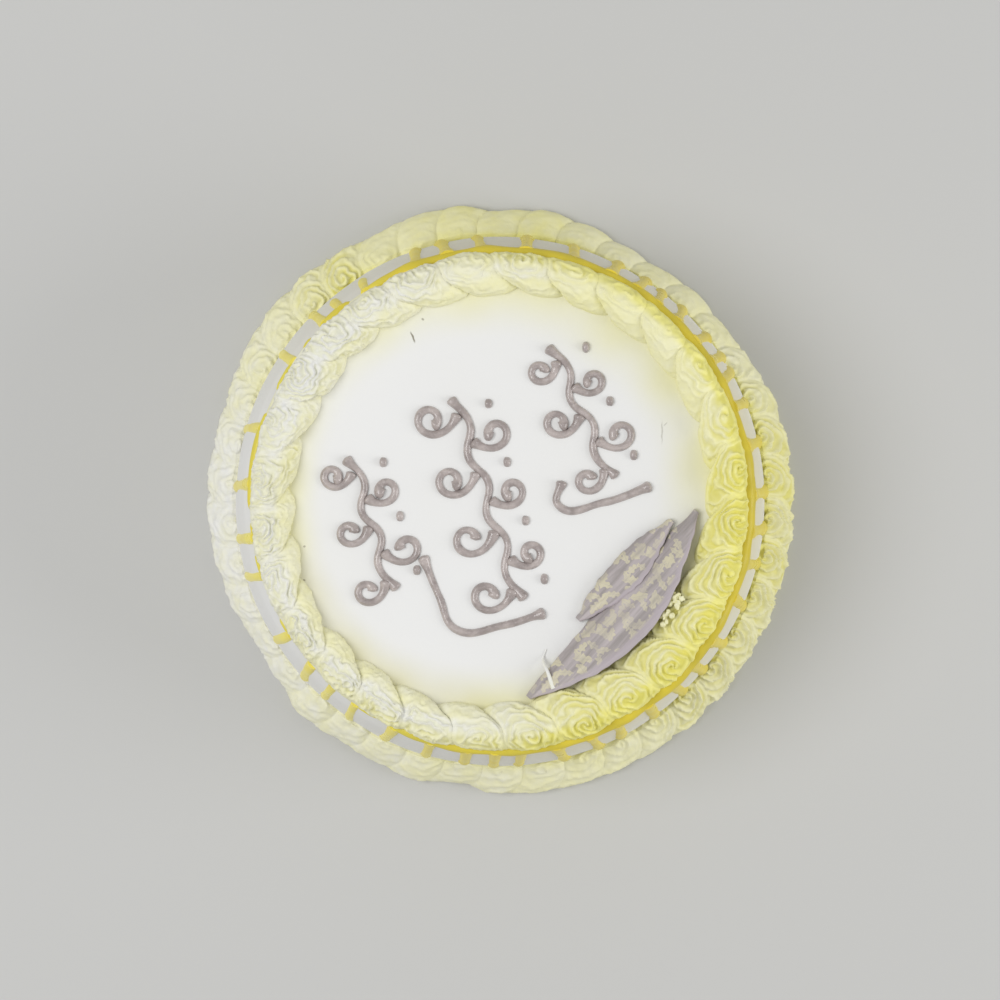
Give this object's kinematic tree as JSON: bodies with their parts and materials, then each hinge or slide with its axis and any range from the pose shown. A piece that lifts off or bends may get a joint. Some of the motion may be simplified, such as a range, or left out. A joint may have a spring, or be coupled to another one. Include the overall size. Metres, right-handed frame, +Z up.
{
  "type": "birthday cake without candles",
  "caption": "Round fresh-cream cake with a flat white top, piped yellow swirls round the top edge and foot, and chocolate shards.",
  "frame": {"origin": "centre of the outline, on the plane the cake stands on", "axes": "+Z up out of the cake's top; the shards lie towards +X and -Y"},
  "size_m": [0.2344, 0.2354, 0.0795],
  "materials": {
    "white_cream": "satin whipped cream, spread smooth",
    "yellow_cream": "satin whipped cream, piped through a star nozzle",
    "yellow_gel": "glossy piping gel",
    "brown_gel": "semi-gloss piping gel",
    "chocolate": "satin chocolate with a pale transfer pattern"
  },
  "bodies": {
    "root": {"cake_body": "white_cream", "cream_swirl_01": "yellow_cream", "cream_swirl_02": "yellow_cream", "cream_swirl_03": "yellow_cream", "cream_swirl_04": "yellow_cream", "cream_swirl_05": "yellow_cream", "cream_swirl_06": "yellow_cream", "cream_swirl_07": "yellow_cream", "cream_swirl_08": "yellow_cream", "cream_swirl_09": "yellow_cream", "cream_swirl_10": "yellow_cream", "cream_swirl_11": "yellow_cream", "cream_swirl_12": "yellow_cream", "cream_swirl_13": "yellow_cream", "cream_swirl_14": "yellow_cream", "cream_swirl_15": "yellow_cream", "cream_swirl_16": "yellow_cream", "cream_swirl_17": "yellow_cream", "cream_swirl_18": "yellow_cream", "cream_swirl_19": "yellow_cream", "cream_swirl_20": "yellow_cream", "cream_swirl_21": "yellow_cream", "cream_swirl_22": "yellow_cream", "cream_swirl_23": "yellow_cream", "cream_swirl_24": "yellow_cream", "cream_swirl_25": "yellow_cream", "cream_swirl_26": "yellow_cream", "cream_swirl_27": "yellow_cream", "cream_swirl_28": "yellow_cream", "foot_border": "yellow_cream", "chocolate_shard_large": "chocolate", "chocolate_shard_slim": "chocolate"}
  },
  "joints": []
}
